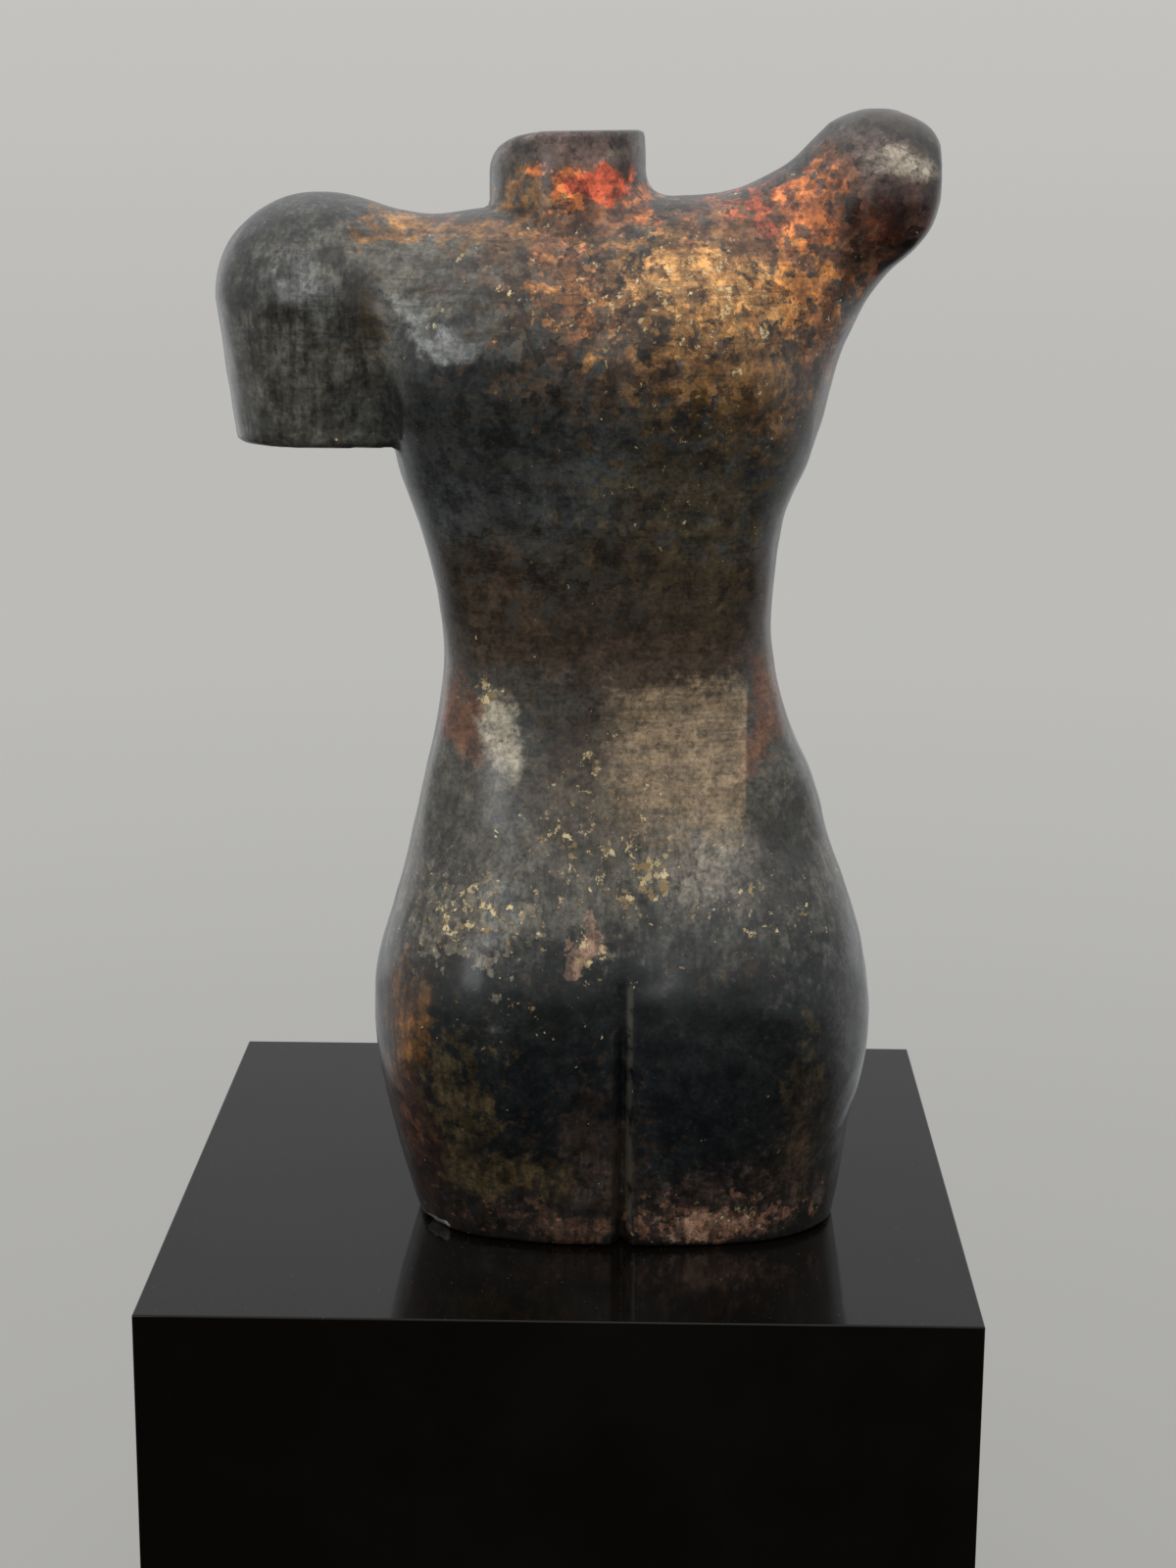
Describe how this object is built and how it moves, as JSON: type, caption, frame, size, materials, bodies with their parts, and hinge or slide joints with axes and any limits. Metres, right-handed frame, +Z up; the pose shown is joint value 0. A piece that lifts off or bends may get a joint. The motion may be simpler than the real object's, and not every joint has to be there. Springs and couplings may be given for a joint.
{
  "type": "resin torso on plinth",
  "caption": "Headless, armless female torso in dark patinated resin with gilded flecks, fixed on a square, polished near-black box plinth.",
  "frame": {"origin": "middle of the plinth's underside", "axes": "+Z up; the figure's chest faces -Y and its back faces +Y, so its hanging left arm is on the +X side and its raised right arm on the -X side"},
  "size_m": [0.5, 0.5, 1.1911],
  "materials": {
    "patinated_resin": "semi-gloss dark grey-green patina with copper, gold and red clouds and flecks of gold leaf",
    "black_lacquer": "polished near-black lacquer on board"
  },
  "bodies": {
    "root": {"torso": "patinated_resin", "plinth": "black_lacquer"}
  },
  "joints": []
}
